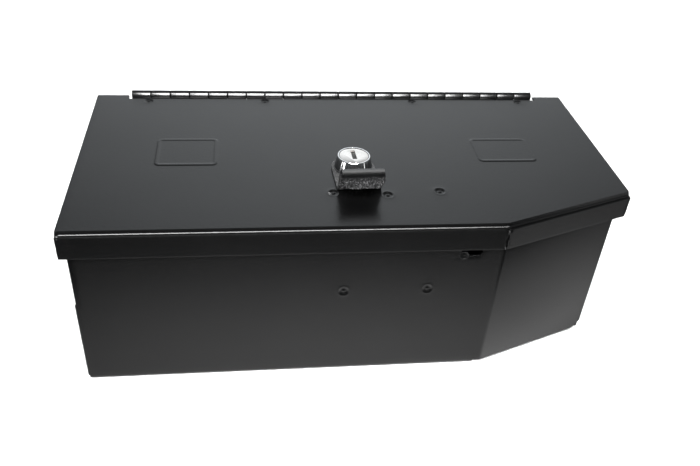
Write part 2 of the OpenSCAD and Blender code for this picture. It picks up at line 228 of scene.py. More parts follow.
def tex_noise(nt, co, scale, detail=2.0, rough=0.5, dist=0.0):
    n = nt.nodes.new("ShaderNodeTexNoise")
    n.inputs["Scale"].default_value = scale
    n.inputs["Detail"].default_value = detail
    n.inputs["Roughness"].default_value = rough
    n.inputs["Distortion"].default_value = dist
    nt.links.new(co, n.inputs["Vector"])
    return n.outputs["Fac"]


def ramp(nt, fac, stops):
    r = nt.nodes.new("ShaderNodeValToRGB")
    while len(r.color_ramp.elements) > 1:
        r.color_ramp.elements.remove(r.color_ramp.elements[-1])
    for i, (p, c) in enumerate(stops):
        e = r.color_ramp.elements[0] if i == 0 else r.color_ramp.elements.new(p)
        e.position = p
        e.color = (*c, 1) if len(c) == 3 else c
    nt.links.new(fac, r.inputs[0])
    return r.outputs[0]


def math_node(nt, op, a, b=None):
    n = nt.nodes.new("ShaderNodeMath")
    n.operation = op
    for i, v in enumerate((a, b)):
        if v is None:
            continue
        if isinstance(v, (int, float)):
            n.inputs[i].default_value = v
        else:
            nt.links.new(v, n.inputs[i])
    return n.outputs[0]


def map_range(nt, v, lo, hi):
    n = nt.nodes.new("ShaderNodeMapRange")
    n.inputs["To Min"].default_value = lo
    n.inputs["To Max"].default_value = hi
    nt.links.new(v, n.inputs["Value"])
    return n.outputs[0]


def bump(nt, height, strength, distance, normal=None):
    n = nt.nodes.new("ShaderNodeBump")
    n.inputs["Strength"].default_value = strength
    n.inputs["Distance"].default_value = distance
    nt.links.new(height, n.inputs["Height"])
    if normal is not None:
        nt.links.new(normal, n.inputs["Normal"])
    return n.outputs[0]


def powder_coat(name, peel=1.0, base=0.0016, rough=(0.22, 0.29), grit_and_glints=0.0, spec=0.5):
    """Satin black powder coat: a dark resin film with orange peel, fine grain and a few pinprick specks; the gritty
    version also gets painted glints, light specks added to the colour of its lower part, over a coarse grit bump.
    """
    m, nt, b, tc = tree(name)
    co = tc.outputs["Object"]
    b.inputs["IOR"].default_value = 1.5
    b.inputs["Specular IOR Level"].default_value = spec
    cloud = tex_noise(nt, co, 34, 3, 0.55)
    grain = tex_noise(nt, co, 1900, 2, 0.6)
    k = math_node(nt, "ADD", math_node(nt, "MULTIPLY", cloud, 0.5), math_node(nt, "MULTIPLY", grain, 0.5))
    col = ramp(nt, k, [(0.30, (base * 0.72, base * 0.76, base * 0.80)), (0.50, (base, base * 1.03, base * 1.06)),
                       (0.72, (base * 1.5, base * 1.55, base * 1.6))])
    nt.links.new(col, b.inputs["Base Color"])
    r1 = tex_noise(nt, co, 55, 3, 0.6)
    r2 = tex_noise(nt, co, 1400, 1, 0.5)
    rr = math_node(nt, "ADD", math_node(nt, "MULTIPLY", r1, 0.6), math_node(nt, "MULTIPLY", r2, 0.4))
    nt.links.new(map_range(nt, rr, rough[0], rough[1]), b.inputs["Roughness"])
    peel1 = tex_noise(nt, co, 620, 2, 0.45)
    peel2 = tex_noise(nt, co, 1500, 2, 0.5)
    wave = tex_noise(nt, co, 16, 1, 0.4)
    n0 = bump(nt, wave, 0.5, 0.00025)
    n1 = bump(nt, peel1, 0.5 * peel, 0.00010, n0)
    n2 = bump(nt, peel2, 0.5 * peel, 0.00005, n1)
    if grit_and_glints:
        # coarse grit bump on the lower, upright part of the lip, and painted glints there: light specks added to the
        # base colour to stand for light catching the grain
        sep = nt.nodes.new("ShaderNodeSeparateXYZ")
        nt.links.new(co, sep.inputs[0])
        low = nt.nodes.new("ShaderNodeMapRange")
        low.inputs["From Min"].default_value = GRIT_GLINT_TOP * MM
        low.inputs["From Max"].default_value = (GRIT_GLINT_TOP - 2.5) * MM
        nt.links.new(sep.outputs[2], low.inputs["Value"])
        g1 = tex_noise(nt, co, 1000, 2, 0.7)
        # painted glints: light specks in the colour where light would catch the grain
        painted_glint_specks = ramp(nt, g1, [(0.40, (0.006, 0.006, 0.006)), (0.54, (0.03, 0.03, 0.031)), (0.66, (0.12, 0.12, 0.122))])
        mix = nt.nodes.new("ShaderNodeMix")
        mix.data_type = "RGBA"
        mix.blend_type = "ADD"
        nt.links.new(low.outputs[0], mix.inputs[0])
        nt.links.new(col, mix.inputs[6])
        nt.links.new(painted_glint_specks, mix.inputs[7])
        nt.links.new(mix.outputs[2], b.inputs["Base Color"])
        g = nt.nodes.new("ShaderNodeBump")
        g.inputs["Distance"].default_value = 0.0009
        nt.links.new(math_node(nt, "MULTIPLY", low.outputs[0], grit_and_glints), g.inputs["Strength"])
        nt.links.new(g1, g.inputs["Height"])
        nt.links.new(n2, g.inputs["Normal"])
        n2 = g.outputs[0]
        b.inputs["Specular IOR Level"].default_value = 0.45
    nt.links.new(n2, b.inputs["Normal"])
    return m


def chrome(name, rough=(0.04, 0.10), base=0.86, brushed=0.0, warm=0.0):
    """Plated bright metal with faint polishing haze and fine hairlines."""
    m, nt, b, tc = tree(name)
    co = tc.outputs["Object"]
    b.inputs["Metallic"].default_value = 1.0
    cloud = tex_noise(nt, co, 260, 3, 0.6)
    col = ramp(nt, cloud, [(0.3, (base * (0.92 + warm), base * 0.925, base * (0.93 - warm))),
                           (0.7, (base * (1 + warm), base, base * (1 - warm)))])
    nt.links.new(col, b.inputs["Base Color"])
    mp = nt.nodes.new("ShaderNodeMapping")
    mp.inputs["Scale"].default_value = (90, 2600, 900)
    nt.links.new(co, mp.inputs["Vector"])
    hair = tex_noise(nt, mp.outputs[0], 1.0, 3, 0.6)
    k = math_node(nt, "ADD", math_node(nt, "MULTIPLY", cloud, 0.5), math_node(nt, "MULTIPLY", hair, 0.5))
    nt.links.new(map_range(nt, k, rough[0], rough[1]), b.inputs["Roughness"])
    n1 = bump(nt, hair, 0.2 + brushed, 0.000006)
    n2 = bump(nt, cloud, 0.3, 0.00002, n1)
    nt.links.new(n2, b.inputs["Normal"])
    return m


def zinc_plate(name):
    """Dull bright-zinc plating with soft spangle and handling haze."""
    m, nt, b, tc = tree(name)
    co = tc.outputs["Object"]
    b.inputs["Metallic"].default_value = 1.0
    v = nt.nodes.new("ShaderNodeTexVoronoi")
    v.inputs["Scale"].default_value = 420
    nt.links.new(co, v.inputs["Vector"])
    cloud = tex_noise(nt, co, 120, 4, 0.6)
    sep = nt.nodes.new("ShaderNodeSeparateColor")
    nt.links.new(v.outputs["Color"], sep.inputs[0])
    k = math_node(nt, "ADD", math_node(nt, "MULTIPLY", sep.outputs[0], 0.35), math_node(nt, "MULTIPLY", cloud, 0.65))
    col = ramp(nt, k, [(0.2, (0.44, 0.46, 0.48)), (0.5, (0.56, 0.58, 0.60)), (0.8, (0.66, 0.67, 0.66))])
    nt.links.new(col, b.inputs["Base Color"])
    nt.links.new(map_range(nt, k, 0.26, 0.46), b.inputs["Roughness"])
    nt.links.new(bump(nt, cloud, 0.35, 0.00004), b.inputs["Normal"])
    return m


def plain_steel(name, k0=1.0):
    """Bare drawn steel: dark, with grain along its length and a trace of oil staining."""
    m, nt, b, tc = tree(name)
    co = tc.outputs["Object"]
    b.inputs["Metallic"].default_value = 1.0
    mp = nt.nodes.new("ShaderNodeMapping")
    mp.inputs["Scale"].default_value = (120, 2400, 2400)
    nt.links.new(co, mp.inputs["Vector"])
    hair = tex_noise(nt, mp.outputs[0], 1.0, 3, 0.6)
    cloud = tex_noise(nt, co, 150, 4, 0.6)
    k = math_node(nt, "ADD", math_node(nt, "MULTIPLY", hair, 0.5), math_node(nt, "MULTIPLY", cloud, 0.5))
    col = ramp(nt, k, [(0.25, (0.20 * k0, 0.19 * k0, 0.18 * k0)), (0.55, (0.34 * k0, 0.335 * k0, 0.33 * k0)),
                       (0.8, (0.42 * k0, 0.42 * k0, 0.42 * k0))])
    nt.links.new(col, b.inputs["Base Color"])
    nt.links.new(map_range(nt, k, 0.28, 0.48), b.inputs["Roughness"])
    nt.links.new(bump(nt, hair, 0.4, 0.00001), b.inputs["Normal"])
    return m


def brass(name):
    m, nt, b, tc = tree(name)
    co = tc.outputs["Object"]
    b.inputs["Metallic"].default_value = 1.0
    cloud = tex_noise(nt, co, 200, 4, 0.6)
    col = ramp(nt, cloud, [(0.3, (0.50, 0.36, 0.15)), (0.55, (0.66, 0.50, 0.23)), (0.75, (0.72, 0.57, 0.30))])
    nt.links.new(col, b.inputs["Base Color"])
    nt.links.new(map_range(nt, cloud, 0.22, 0.42), b.inputs["Roughness"])
    nt.links.new(bump(nt, cloud, 0.3, 0.00002), b.inputs["Normal"])
    return m


# painted glints: the light specks in the pull's colour fade out at this height together with the grit bump
GRIT_GLINT_TOP = H + 15.2           # where the gritty flow on the pull fades out
COAT = powder_coat("powder_coat")
COAT_PULL = powder_coat("powder_coat_pull", peel=1.6, base=0.0022, rough=(0.36, 0.46), grit_and_glints=1.0)
COAT_IN = powder_coat("powder_coat_inside", peel=1.2, rough=(0.34, 0.44))
WELD = powder_coat("powder_coat_weld", peel=2.6, rough=(0.30, 0.42))
# painted shade: a darker, matt coat for the grooves between the hinge knuckles
GAP_SHADE_COAT = powder_coat("powder_coat_gap_shade", peel=2.0, base=0.0012, rough=(0.7, 0.85), spec=0.12)
CHROME = chrome("lock_chrome")
FACE = chrome("lock_face", rough=(0.12, 0.20), base=0.84, brushed=0.35, warm=0.035)
ZINC = zinc_plate("zinc_plate")
STEEL = plain_steel("plain_steel")
DARK_STEEL = plain_steel("plain_steel_dark", 0.42)
BRASS = brass("wafer_brass")


# ---------------------------------------------------------------- the lid
def cut_base(b):
    return XR - CUT_W - b * math.sin(CUT), YF + b * math.cos(CUT)


def meet(a, b):
    qx, qy = cut_base(b)
    return qx + (YF + a - qy) / math.tan(CUT), YF + a


def cut_y(x, b):
    qx, qy = cut_base(b)
    return qy + (x - qx) * math.tan(CUT)


RC = 0.9
FINE = [0.0, 0.22, 0.45, 0.7, 0.95, 1.2, 1.45, 1.7, 2.0, 2.4, 3.0]


def end_in(d):
    """How far the tighter end folds are set in at depth d below the top face."""
    return RS - math.sqrt(max(0.0, RS * RS - (RS - d) ** 2)) if d < RS else 0.0


def ring(a, s, rc):
    """The lid's outline set in by a at the front and by s at the ends, from the rear left round the front to the
    rear right; the corners have radius rc."""
    P = [(XL + s, YT), (XL + s, YF + a), meet(a, a), (XR - s, cut_y(XR - s, a)), (XR - s, YT)]
    turn = {1: math.pi / 2, 2: CUT, 3: math.pi / 2 - CUT}
    narc = {1: 6, 2: 4, 3: 6}
    nsub = [26, 50, 18, 22]
    rad = {1: rc, 2: 0.9, 3: rc}
    cut_in = {i: rad[i] * math.tan(turn[i] / 2) for i in turn}
    pts = []
    for e in range(4):
        p, q = Vector(P[e]), Vector(P[e + 1])
        d = (q - p).normalized()
        s = p + d * cut_in.get(e, 0)
        t = q - d * cut_in.get(e + 1, 0)
        L = (t - s).length
        par = [i / nsub[e] for i in range(nsub[e] + 1)]
        if e > 0:
            par = [f / L for f in FINE] + [u for u in par if u * L > 4.0]
        if e < 3:
            par = [u for u in par if u * L < L - 4.0] + [1 - f / L for f in reversed(FINE)]
        pts += [(s + (t - s) * u)[:] for u in par]
        if e + 1 in turn:
            n = Vector((-d.y, d.x))
            rr = rad[e + 1]
            c = t + n * rr
            a0 = math.atan2(-n.y, -n.x)
            m = narc[e + 1]
            pts += [(c.x + rr * math.cos(a0 + turn[e + 1] * i / m), c.y + rr * math.sin(a0 + turn[e + 1] * i / m))
                    for i in range(1, m)]
    return pts


def lid_profile():
    """(inset at the front, inset at the ends, height, outer?) from the top face over the fold, down the flange, round
    its edge and back up inside."""
    n, e = 14, 0.32
    p = [(R * (1 - math.cos(q)), end_in(R * (1 - math.sin(q))), H - R * (1 - math.sin(q)), 1)
         for q in [math.pi / 2 * (1 - i / n) for i in range(n + 1)]]
    z0, z1 = H - R, FL + e
    m = 17
    p += [(0.0, 0.0, z0 + (z1 - z0) * i / m, 1) for i in range(1, m + 1)]
    k = 4
    p += [(e * (1 - math.cos(t)),) * 2 + (FL + e * (1 - math.sin(t)), 1) for t in [math.pi / 2 * i / k for i in range(1, k + 1)]]
    p += [(T - e + e * math.sin(t),) * 2 + (FL + e * (1 - math.cos(t)), 0) for t in [math.pi / 2 * i / k for i in range(k + 1)]]
    ri = R - T
    p += [(T, T, H - R, 0)]
    p += [(T + ri * (1 - math.cos(q)), T, H - T - ri * (1 - math.sin(q)), 0) for q in [math.pi / 2 * i / 8 for i in range(1, 9)]]
    return p


LID_MARKS = [(-15.8, -45.2), (15.05, -48.0), (46.0, -45.0)]
LEAF_MARKS = [(-127.7, 67.9), (-51.0, 67.9), (51.0, 67.9), (127.7, 67.9)]
PADS = [(-99.5, 1.0, 36.0, 31.0), (97.0, 1.5, 37.0, 28.0)]


def mark_depth(r, deep=0.62, rad=3.1):
    """A spot-weld print: a dish with a raised lip and a small pip."""
    if r > rad * 1.9:
        return 0.0
    d = -deep * (1 - smooth(rad * 0.55, rad * 1.0, r))
    d += 0.13 * math.exp(-((r - rad * 1.14) / 0.45) ** 2)
    d += 0.50 * (1 - smooth(0.15, 1.25, r))
    return d


def rect_sd(x, y, cx, cy, w, h, r):
    qx, qy = abs(x - cx) - (w / 2 - r), abs(y - cy) - (h / 2 - r)
    return math.hypot(max(qx, 0), max(qy, 0)) + min(max(qx, qy), 0) - r


def lid_height(x, y):
    z = 0.0
    for c in LID_MARKS:
        z += mark_depth(math.hypot(x - c[0], y - c[1]))
    for c in LEAF_MARKS:
        z += mark_depth(math.hypot(x - c[0], y - c[1]), 0.5, 2.9)
    for cx, cy, w, h in PADS:
        s = rect_sd(x, y, cx, cy, w, h, 3.0)
        z += 0.30 * (1 - smooth(-0.45, 0.45, s)) - 0.16 * (1 - smooth(-2.3, -1.6, s))
    return z


def groove(s, z):
    """Depth of the rough seam where the front flange meets the corner flange; s is the distance along the flange."""
    g = 1 - smooth(H - 3.4, H - 2.2, z)
    n = nz(s, z, 3.0, 0.9) + 0.5 * nz(s, z, 9.0, 2.1)
    s2 = s + 0.35 * nz(z, 1, 1, 0.35) + 0.25
    deep = g * 1.15 * (1 - smooth(0.28, 0.85, abs(s2))) * (1 + 0.35 * n)
    deep += g * 0.35 * max(0.0, n) * (1 - smooth(1.2, 2.0, abs(s)))
    weld = smooth(H - 5.6, H - 4.9, z) * (1 - smooth(H - 4.2, H - 3.6, z))
    weld += 1 - smooth(FL + 0.5, FL + 1.6, z)
    deep *= 1 - 0.8 * weld
    deep += 1.3 * math.exp(-(s / 1.3) ** 2 - ((z - (H - 2.6)) / 1.1) ** 2)
    return deep


def corner_lumps(s, z, k):
    """Depth of the ground weld at the flange's outer corners: a dressed bead beside a faint line."""
    g = 1 - smooth(H - 2.4, H - 1.2, z)
    n = nz(s, z, 5.0 + 7 * k, 0.8) + 0.5 * nz(s, z, 2.0, 1.9)
    deep = (0.55 if k == 0 else 0.3) * (1 - smooth(0.10, 0.55, abs(s - 1.75 + 0.25 * nz(z, 4, k, 0.4))))
    deep += 0.28 * max(0.0, n) * (1 - smooth(0.9, 1.7, abs(s)))
    deep += (0.9 if k == 0 else 0.4) * (1 - smooth(FL, FL + 2.2, z)) * (1 - smooth(0.0, 1.2, abs(s)))
    return g * deep


def build_lid():
    prof = lid_profile()
    rings = [ring(a, s, 0.9 if z < H - R else 0.9 - 0.5 * (z - H + R) / R) for a, s, z, o in prof]
    m, n = len(prof), len(rings[0])
    d_mid = Vector(meet(0, 0))
    bis = Vector((-math.sin(CUT / 2), math.cos(CUT / 2)))
    bm = bmesh.new()
    grid = []
    for k, (a, _, z, outer) in enumerate(prof):
        row = []
        for (x, y) in rings[k]:
            if outer and 0 < k:
                mid = Vector(meet(a, a))
                along = (Vector((x, y)) - mid)
                s = along.length * (1 if x > mid.x else -1)
                if abs(s) < 3.2:
                    g = max(0.0, min(1.3, groove(s, z))) * (1 - smooth(2.2, 3.2, abs(s)))
                    x, y = x + bis.x * g, y + bis.y * g
                    row.append(bm.verts.new((x, y, z - 0.15 * g)))
                    continue
                if a > 0 and z > H - R and x < XL + 2.6 and y < YF + R + 0.5:
                    g = 0.6 * (1 - smooth(0.7, 2.4, x - XL)) * (1 + 0.3 * nz(x, y, z, 1.3))
                    y, z = y + 0.45 * g, z - 0.8 * g * (1 - a / R) - 0.05 * g
                if a == 0:
                    d0 = (x - XL) - (y - YF)
                    if abs(d0) < 3.4 and x < XL + 4:
                        g = max(0.0, min(0.9, corner_lumps(d0, z, 0))) * (1 - smooth(2.6, 3.4, abs(d0)))
                        x, y = x + 0.7 * g, y + 0.7 * g
                    yc = cut_y(XR, 0)
                    d1 = (XR - x) / math.cos(CUT) - (y - yc if x > XR - 0.01 else 0.0)
                    if abs(d1) < 3.4 and x > XR - 4:
                        g = max(0.0, min(0.6, corner_lumps(d1, z, 1))) * (1 - smooth(2.6, 3.4, abs(d1)))
                        x, y = x - 0.8 * g, y + 0.55 * g
            row.append(bm.verts.new((x, y, z)))
        grid.append(row)
    for k in range(m - 1):
        for j in range(n - 1):
            bm.faces.new((grid[k][j], grid[k][j + 1], grid[k + 1][j + 1], grid[k + 1][j]))
    # ends of the flanges at the rear
    bm.faces.new([grid[k][0] for k in range(m)])
    bm.faces.new([grid[k][n - 1] for k in range(m - 1, -1, -1)])
    # top and underside share one triangulation
    top = [tuple(v.co[:2]) for v in grid[0]]
    (nx0, _, _), (nx1, _, _) = node_box("hinge_lid_leaf")
    nw = (nx1 - nx0) / 2 + 1.5
    def run(p, q, step=6.0):
        L = math.dist(p, q)
        c = max(1, int(L / step))
        return [(p[0] + (q[0] - p[0]) * i / c, p[1] + (q[1] - p[1]) * i / c) for i in range(1, c + 1)]
    a, b = top[-1], top[0]
    rear = run(a, (nw, YT)) + run((nw, YT), (nw, YT - 5.2), 2.6) + run((nw, YT - 5.2), (-nw, YT - 5.2)) + \
        run((-nw, YT - 5.2), (-nw, YT), 2.6) + run((-nw, YT), b)
    rear = rear[:-1]
    outline = top + rear
    N = len(outline)
    hole = [(LOCK.x + 9.7 * math.cos(2 * math.pi * i / 72), LOCK.y + 9.7 * math.sin(2 * math.pi * i / 72)) for i in range(72)]
    segs = [(i, (i + 1) % N) for i in range(N)] + [(N + i, N + (i + 1) % 72) for i in range(72)]
    extra = []
    for c in LID_MARKS:
        extra += mark_points(c, [0.4, 0.8, 1.2, 1.6, 2.0, 2.4, 2.75, 3.1, 3.5, 4.0, 5.0])
    for c in LEAF_MARKS:
        extra += mark_points(c, [0.4, 0.8, 1.2, 1.6, 2.0, 2.4, 2.8, 3.2, 3.8, 4.6])
    for cx, cy, w, h in PADS:
        for g in (-3.2, -2.4, -2.1, -1.8, -1.5, -0.9, -0.5, -0.25, 0.0, 0.25, 0.5, 1.1):
            extra += rounded_rect(cx, cy, w, h, 3.0, 1.5, g)
    grid_pts = np.array(hexgrid(XL, XR, YF, YT, 7.0))
    keep = np.ones(len(grid_pts), bool)
    for c in LID_MARKS + LEAF_MARKS:
        keep &= np.hypot(grid_pts[:, 0] - c[0], grid_pts[:, 1] - c[1]) > 7
    for cx, cy, w, h in PADS:
        keep &= np.array([not (-6 < rect_sd(x, y, cx, cy, w, h, 3) < 3) for x, y in grid_pts])
    extra += [tuple(p) for p in grid_pts[keep]]
    vo, tris = triangulate(outline + hole, segs, extra, 1.0)
    zz = [lid_height(x, y) for x, y in vo]
    up = [bm.verts.new((x, y, H + z)) for (x, y), z in zip(vo, zz)]
    dn = [bm.verts.new((x, y, H - T + z * 0.8)) for (x, y), z in zip(vo, zz)]
    for f in tris:
        bm.faces.new([up[i] for i in f])
        bm.faces.new([dn[i] for i in reversed(f)])
    # sheet edge along the rear and round the lock hole
    ids = list(range(len(top) - 1, N)) + [0]
    for i, j in zip(ids[:-1], ids[1:]):
        bm.faces.new((up[i], up[j], dn[j], dn[i]))
    for i in range(72):
        p, q = N + i, N + (i + 1) % 72
        bm.faces.new((up[p], up[q], dn[q], dn[p]))
    return finish_bm(bm, "lid_sheet", [COAT], "lid", ("lid_panel",), 36)


lid_sheet = build_lid()


# ---------------------------------------------------------------- CAD shapes with eased edges
def eased(node, name, mat, width=0.2, seg=2, angle=30, sm=34, clamp=True, plane=None, feature=None, pts=None, move=None, first=None):
    """A copy of a CAD node's shape with its sharp edges rounded; plane and feature press prints into a flat face."""
    src = frame["nodes"][node]
    bm = bmesh.new()
    bm.from_mesh(src.data)
    bmesh.ops.scale(bm, vec=(1 / MM, 1 / MM, 1 / MM), verts=bm.verts)
    bmesh.ops.remove_doubles(bm, verts=bm.verts, dist=0.004)
    bmesh.ops.dissolve_degenerate(bm, edges=bm.edges, dist=0.002)
    bmesh.ops.dissolve_limit(bm, angle_limit=math.radians(0.7), verts=bm.verts, edges=bm.edges)
    if first is not None:
        first(bm)
    if width > 0:
        sharp = [e for e in bm.edges if len(e.link_faces) == 2 and e.calc_face_angle(0) > math.radians(angle)]
        bmesh.ops.bevel(bm, geom=sharp, offset=width, offset_type="OFFSET", segments=seg, profile=0.5,
                        affect="EDGES", clamp_overlap=clamp)
    if plane is not None:
        axis, value, sign = plane
        other = [i for i in range(3) if i != axis]
        bm.normal_update()
        flat = [f for f in bm.faces if f.normal[axis] * sign > 0.9999 and all(abs(v.co[axis] - value) < 0.003 for v in f.verts)]
        edges = {}
        for f in flat:
            for e in f.edges:
                edges[e] = edges.get(e, 0) + 1
        rim = [e for e, c in edges.items() if c == 1]
        bmesh.ops.delete(bm, geom=flat, context="FACES_ONLY")
        rim = [e for e in rim if e.is_valid]
        vs = sorted({v for e in rim for v in e.verts}, key=lambda v: v.index)
        bm.verts.index_update()
        idx = {v: i for i, v in enumerate(vs)}
        pts2 = [(v.co[other[0]], v.co[other[1]]) for v in vs]
        segs = [(idx[e.verts[0]], idx[e.verts[1]]) for e in rim]
        vo, tris = triangulate(pts2, segs, pts, 0.9)
        made = []
        for i, (a, b) in enumerate(vo):
            if i < len(vs):
                made.append(vs[i])
            else:
                co = [0, 0, 0]
                co[axis] = value + feature(a, b)
                co[other[0]], co[other[1]] = a, b
                made.append(bm.verts.new(co))
        for f in tris:
            try:
                bm.faces.new([made[i] for i in f])
            except ValueError:
                pass
        loose = [e for e in bm.edges if not e.link_faces]
        bmesh.ops.delete(bm, geom=loose, context="EDGES")
    if move is not None:
        move(bm)
    return finish_bm(bm, name, [mat], src["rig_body"], (node,), sm, 0.0005)


WALL_MARKS = [(-11.05, 63.1), (37.6, 63.1)]
SLOT_MARK = (51.2, 87.2)


def wall_dent(x, z):
    d = 0.0
    for c in WALL_MARKS:
        d -= mark_depth(math.hypot(x - c[0], z - c[1]), 0.55, 3.0)
    return d


wall_pts = [p for p in hexgrid(BX0, BX1, BZ0, BZ1, 8.0) if all(math.dist(p, c) > 7 for c in WALL_MARKS)]
for c in WALL_MARKS:
    wall_pts += mark_points(c, [0.4, 0.8, 1.2, 1.6, 2.0, 2.4, 2.75, 3.1, 3.5, 4.0, 5.0])
eased("body_shell", "body_sheet", COAT, 0.22, 2, plane=(1, WALL_Y, -1), feature=wall_dent, pts=wall_pts)
eased("left_end_panel", "left_end_sheet", COAT, 0.2, 2)
eased("right_end_panel", "right_end_sheet", COAT, 0.2, 2)
eased("strike_bracket", "strike_sheet", COAT_IN, 0.2, 2)


def slot_print():
    """The round weld print that closes the left end of the cable slot: a dished disc with a raised rim."""
    cx, cz, rad = 55.75, 87.0, 2.95
    prof = [(0.0, -0.05), (0.55, -0.02), (1.0, 0.16), (1.5, 0.30), (1.95, 0.26), (2.25, 0.02), (2.5, -0.22), (2.7, -0.20),
            (rad - 0.08, -0.05), (rad, 0.12), (rad, T)]
    bm = bmesh.new()
    n = 40
    rows = []
    for r, d in prof:
        if r == 0:
            rows.append([bm.verts.new((cx, WALL_Y + d, cz))])
        else:
            rows.append([bm.verts.new((cx + r * math.cos(2 * math.pi * i / n), WALL_Y + d + 0.03 * nz(r, i, 2, 0.7),
                                       cz + r * math.sin(2 * math.pi * i / n))) for i in range(n)])
    for i in range(n):
        bm.faces.new((rows[0][0], rows[1][i], rows[1][(i + 1) % n]))
    for p, q in zip(rows[1:-1], rows[2:]):
        for i in range(n):
            bm.faces.new((p[i], q[i], q[(i + 1) % n], p[(i + 1) % n]))
    bm.faces.new(rows[-1])
    return finish_bm(bm, "slot_print", [COAT], "box", (), 40, 0)


def corner_bead():
    """The dressed weld down the lower half of the body's left front corner."""
    bm = bmesh.new()
    z0, z1, n, m = 2.6, 58.5, 84, 14
    rows = []
    for j in range(n + 1):
        z = z0 + (z1 - z0) * j / n
        end = math.sqrt(max(0.0, 1 - max(0.0, (z - (z1 - 0.9)) / 0.9) ** 2)) * math.sqrt(max(0.0, 1 - max(0.0, (z0 + 1.2 - z) / 1.2) ** 2))
        row = []
        for i in range(m):
            t = 2 * math.pi * i / m
            ripple = 0.05 * nz(z, i, 4, 0.9)
            rx, ry = (0.75 + ripple) * end, (0.85 + ripple) * end
            row.append(bm.verts.new((BX0 - 0.25 + rx * math.cos(t), WALL_Y + 1.1 + ry * math.sin(t), z)))
        rows.append(row)
    for p, q in zip(rows[:-1], rows[1:]):
        for i in range(m):
            bm.faces.new((p[i], p[(i + 1) % m], q[(i + 1) % m], q[i]))
    bm.faces.new(list(reversed(rows[0])))
    bm.faces.new(rows[-1])
    return finish_bm(bm, "corner_bead", [WELD], "box", (), 50, 0.0008)


slot_print()
corner_bead()
PITCH = 12.7
HINGE0 = -11 * PITCH


def knuckle_end(v):
    k = round((v.co.x - HINGE0) / PITCH)
    d = v.co.x - (HINGE0 + k * PITCH)
    return d if 0 < k < 22 and 0.1 < abs(d) < 0.25 else 0.0


def close_knuckles(bm):
    """The knuckles' ends nearly touch under the coat, with a chamfer that leaves a dark V between neighbours."""
    for v in bm.verts:
        d = knuckle_end(v)
        if d:
            v.co.x -= math.copysign(0.12, d)
    ring_edges = []
    for e in bm.edges:
        a, b = e.verts
        if len(e.link_faces) == 2 and abs(a.co.x - b.co.x) < 0.002 and e.calc_face_angle(0) > 1.2:
            rad = [math.hypot(v.co.y - YPIN, v.co.z - ZPIN) for v in (a, b)]
            k = round((a.co.x - HINGE0) / PITCH)
            if 0 < k < 22 and abs(a.co.x - (HINGE0 + k * PITCH)) < 0.15 and min(rad) > 2.6 and max(rad) < 2.8:
                ring_edges.append(e)
    bmesh.ops.bevel(bm, geom=ring_edges, offset=0.42, offset_type="OFFSET", segments=1, profile=0.5,
                    affect="EDGES", clamp_overlap=False)


def knuckle_gap_shade():
    """Painted shade in the narrow grooves between the knuckles: rings of a darker, matt coat that stand for the shade
    in the gaps.
    """
    bm = bmesh.new()
    n = 28
    for k in range(1, 22):
        rows = []
        for dx, r in ((-0.46, 2.2), (-0.44, 2.57), (0.44, 2.57), (0.46, 2.2)):
            rows.append([bm.verts.new((HINGE0 + k * PITCH + dx, YPIN + r * math.cos(2 * math.pi * i / n),
                                       ZPIN + r * math.sin(2 * math.pi * i / n))) for i in range(n)])
        for p, q in zip(rows[:-1], rows[1:]):
            for i in range(n):
                bm.faces.new((p[i], p[(i + 1) % n], q[(i + 1) % n], q[i]))
        bm.faces.new(list(reversed(rows[0])))
        bm.faces.new(rows[-1])
    return finish_bm(bm, "knuckle_gap_shade", [GAP_SHADE_COAT], "box", (), 40, 0)


leaf_a = eased("hinge_body_leaf", "hinge_leaf_lower", COAT, 0.2, 2, first=close_knuckles)
leaf_b = eased("hinge_lid_leaf", "hinge_leaf_upper", COAT, 0.2, 2, first=close_knuckles)
knuckle_gap_shade()
eased("lock_doubler", "lock_backing", COAT_IN, 0.2, 2)
pull_ob = eased("finger_pull", "pull_strap", COAT_PULL, 0.22, 3)
eased("lock_housing", "lock_head", CHROME, 0.12, 2, angle=22)
eased("lock_plug", "lock_face_plug", FACE, 0.10, 2)
eased("key_shutter", "key_flap", DARK_STEEL, 0.06, 2)
eased("lock_nut", "hex_nut", ZINC, 0.3, 2)
eased("latch_cam", "cam_plate", ZINC, 0.2, 2)
eased("cam_screw", "screw_head", ZINC, 0.15, 2)

CAD_LOOK = {
    "hinge_pin": STEEL, "nut_lock_washer": ZINC, "shutter_spring": STEEL, "tumbler_wafers": BRASS,
    "wafer_springs": STEEL, "stop_washer": ZINC, "cam_washer": ZINC,
}
for n, m in CAD_LOOK.items():
    ob = frame["nodes"][n]
    ob.data.materials.clear()
    ob.data.materials.append(m)


# ---------------------------------------------------------------- floor, light, camera
def plane(name, half, z, m):
    me = bpy.data.meshes.new(name)
    me.from_pydata([(-half, -half, z), (half, -half, z), (half, half, z), (-half, half, z)], [], [(0, 1, 2, 3)])
    me.materials.append(m)
    ob = bpy.data.objects.new(name, me)
    bpy.context.scene.collection.objects.link(ob)
    return ob


